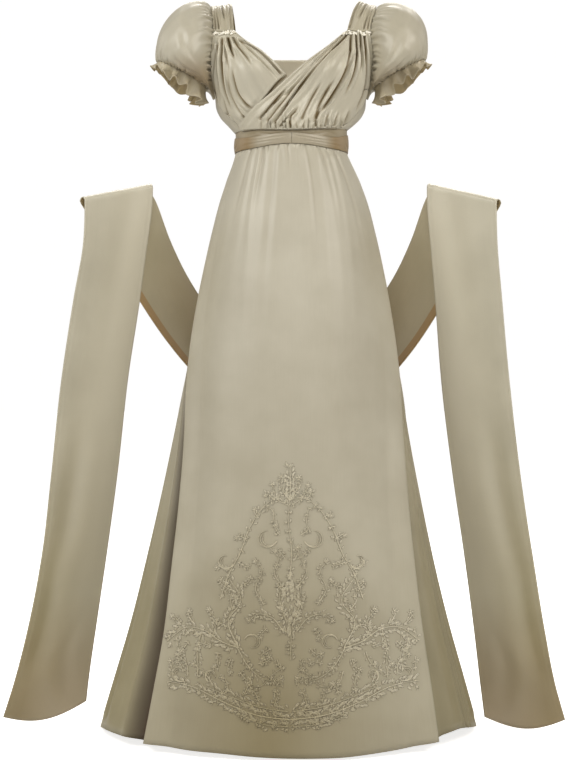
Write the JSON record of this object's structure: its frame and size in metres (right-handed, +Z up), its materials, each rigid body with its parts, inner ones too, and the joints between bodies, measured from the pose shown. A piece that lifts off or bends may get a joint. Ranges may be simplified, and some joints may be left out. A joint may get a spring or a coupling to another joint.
{
  "type": "regency gown with its own stole",
  "caption": "High-waisted long gown of plain satin with a crossed gathered bodice, puff sleeves, a belt and a long stole that falls at both sides.",
  "frame": {"origin": "on the body's axis, level with the top of the shoulders, where the wearer holds the gown up", "axes": "+Z up, +X to the wearer's left, +Y to the wearer's back"},
  "size_m": [1.0768, 0.65, 1.4045],
  "materials": {
    "satin": "champagne satin with a broad soft sheen and tone-on-tone embroidery",
    "beads": "cream pearl beads"
  },
  "bodies": {
    "root": {"skirt_front": "satin", "skirt_back": "satin", "skirt_side_right": "satin", "skirt_side_left": "satin", "waistband": "satin", "belt_right": "satin", "belt_left": "satin", "bodice_front_right": "satin", "bodice_front_left": "satin", "bodice_back": "satin", "bodice_side_right": "satin", "bodice_side_left": "satin", "strap_right": "satin", "strap_left": "satin", "sleeve_right": "satin", "sleeve_left": "satin", "frill_right": "satin", "frill_left": "satin", "stole_fall_right": "satin", "stole_fall_left": "satin", "stole_behind": "satin", "trim_front_right": "beads", "trim_front_left": "beads", "trim_top_right": "beads", "trim_top_left": "beads"}
  },
  "joints": []
}
